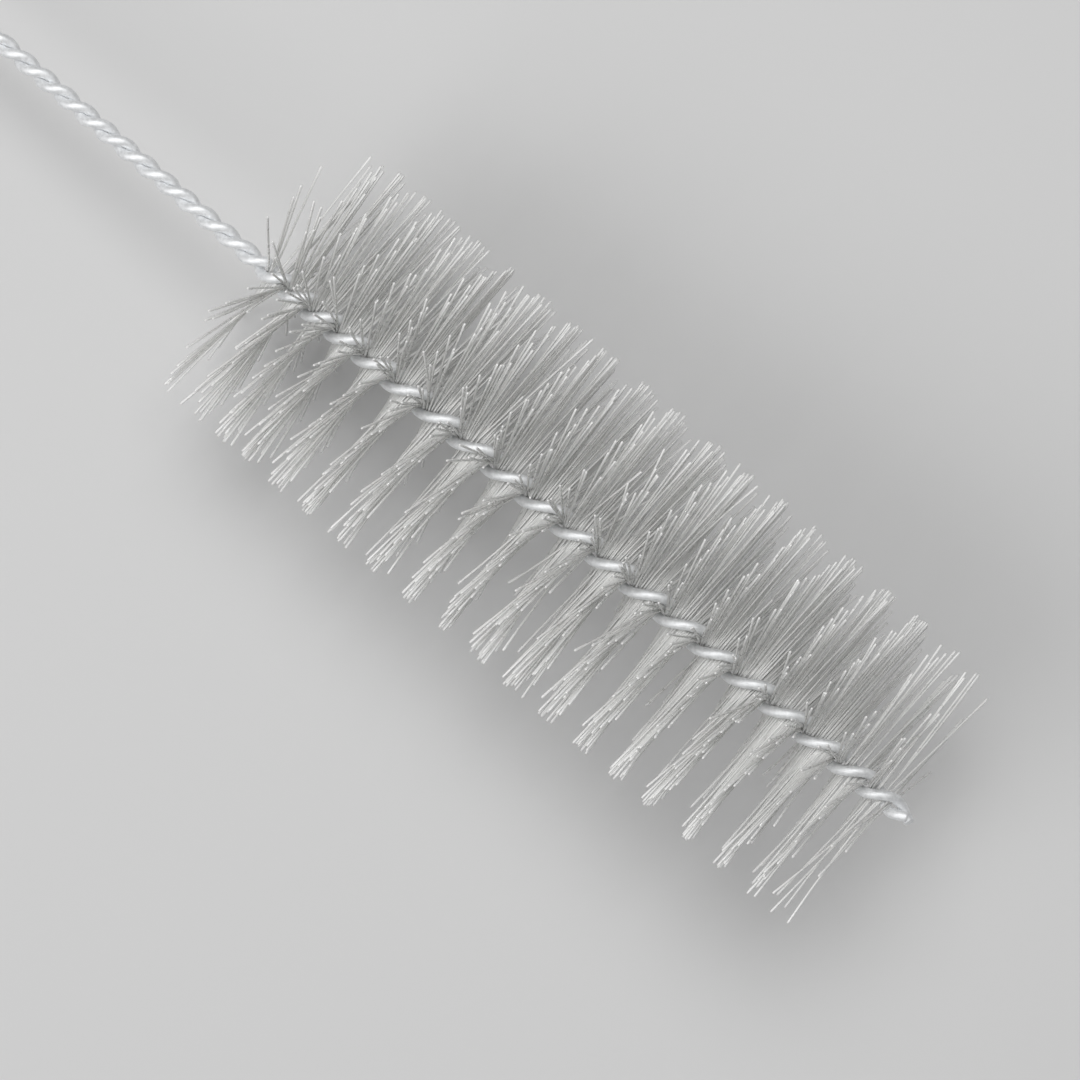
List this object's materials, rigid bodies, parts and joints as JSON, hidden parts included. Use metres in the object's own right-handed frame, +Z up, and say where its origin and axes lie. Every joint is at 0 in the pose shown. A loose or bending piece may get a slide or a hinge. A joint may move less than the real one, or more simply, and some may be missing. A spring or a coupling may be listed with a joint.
{
  "type": "bottle brush",
  "caption": "Round bottle brush: straight nylon filaments gripped in a double spiral between the twisted legs of one steel wire, with a bare twisted stem and a hanging eye.",
  "frame": {"origin": "middle of the resting brush's box, on the surface that it lies on", "axes": "+X along the brush from the hanging eye to the tip, seen from above; +Z up"},
  "size_m": [0.2729, 0.04, 0.0507],
  "materials": {
    "galvanised_wire": "bright drawn galvanised steel wire",
    "nylon_filament": "natural translucent nylon, smooth"
  },
  "bodies": {
    "root": {"twisted_wire": "galvanised_wire", "tuft_01": "nylon_filament", "tuft_02": "nylon_filament", "tuft_03": "nylon_filament", "tuft_04": "nylon_filament", "tuft_05": "nylon_filament", "tuft_06": "nylon_filament", "tuft_07": "nylon_filament", "tuft_08": "nylon_filament", "tuft_09": "nylon_filament", "tuft_10": "nylon_filament", "tuft_11": "nylon_filament", "tuft_12": "nylon_filament", "tuft_13": "nylon_filament", "tuft_14": "nylon_filament", "tuft_15": "nylon_filament", "tuft_16": "nylon_filament", "tuft_17": "nylon_filament", "tuft_18": "nylon_filament", "tuft_19": "nylon_filament", "tuft_20": "nylon_filament"}
  },
  "joints": []
}
